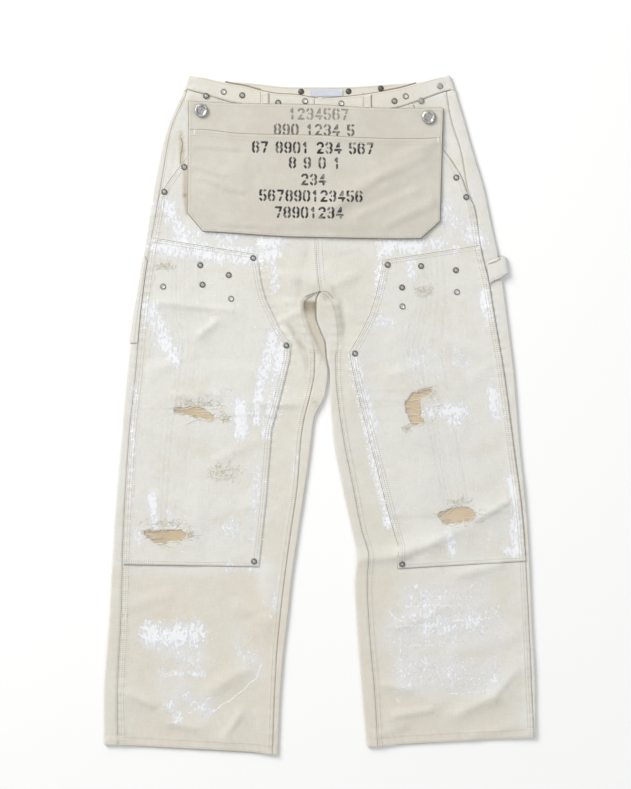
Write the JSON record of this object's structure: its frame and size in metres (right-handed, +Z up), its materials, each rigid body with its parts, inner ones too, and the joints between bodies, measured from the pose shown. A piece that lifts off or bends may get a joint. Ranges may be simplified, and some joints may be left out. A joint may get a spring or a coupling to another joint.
{
  "type": "carpenter pants",
  "caption": "Canvas double-knee carpenter pants laid flat on their back, with a buttoned nail apron over the front, a hammer loop, ripped knees with patches, and rivets.",
  "frame": {"origin": "middle of the laid garment's outline, on the surface it lies on", "axes": "+X towards the wearer's left leg, +Y from hems to waist, +Z up, away from the surface"},
  "size_m": [0.674, 1.0602, 0.014],
  "materials": {
    "canvas": "heavy off-white cotton canvas, plain weave, paint-marked",
    "canvas_worn": "the same canvas, softer and rubbed, with white paint",
    "apron_canvas": "the same canvas, yellower and less rubbed",
    "patch_canvas": "tan cotton duck",
    "label": "smooth pale woven tape, bare",
    "pewter": "dull grey plated rivets and studs",
    "silver": "polished shank buttons"
  },
  "bodies": {
    "root": {"apron": "apron_canvas", "apron_pouch": "apron_canvas", "back_left": "canvas", "back_right": "canvas", "belt_loop_left": "canvas", "belt_loop_right": "canvas", "button_left": "silver", "button_right": "silver", "fly": "canvas", "front_left": "canvas", "front_right": "canvas", "hammer_loop": "canvas", "knee_left": "canvas_worn", "knee_right": "canvas_worn", "label": "label", "patch_left_lower": "patch_canvas", "patch_left_upper": "patch_canvas", "patch_right_lower": "patch_canvas", "patch_right_upper": "patch_canvas", "pocket_facing_left": "canvas", "pocket_facing_right": "canvas", "stud_back_1": "pewter", "stud_back_2": "pewter", "stud_back_3": "pewter", "stud_knee_left_1": "pewter", "stud_knee_left_2": "pewter", "stud_knee_left_3": "pewter", "stud_knee_left_4": "pewter", "stud_knee_left_5": "pewter", "stud_knee_left_6": "pewter", "stud_knee_left_7": "pewter", "stud_knee_left_8": "pewter", "stud_knee_right_1": "pewter", "stud_knee_right_2": "pewter", "stud_knee_right_3": "pewter", "stud_knee_right_4": "pewter", "stud_knee_right_5": "pewter", "stud_knee_right_6": "pewter", "stud_knee_right_7": "pewter", "stud_knee_right_8": "pewter", "stud_pocket_left_1": "pewter", "stud_pocket_left_2": "pewter", "stud_pocket_right_1": "pewter", "stud_pocket_right_2": "pewter", "stud_waist_1": "pewter", "stud_waist_10": "pewter", "stud_waist_2": "pewter", "stud_waist_3": "pewter", "stud_waist_4": "pewter", "stud_waist_5": "pewter", "stud_waist_6": "pewter", "stud_waist_7": "pewter", "stud_waist_8": "pewter", "stud_waist_9": "pewter", "tool_pocket": "canvas", "waist_button": "silver", "waistband_left": "canvas", "waistband_right": "canvas"}
  },
  "joints": []
}
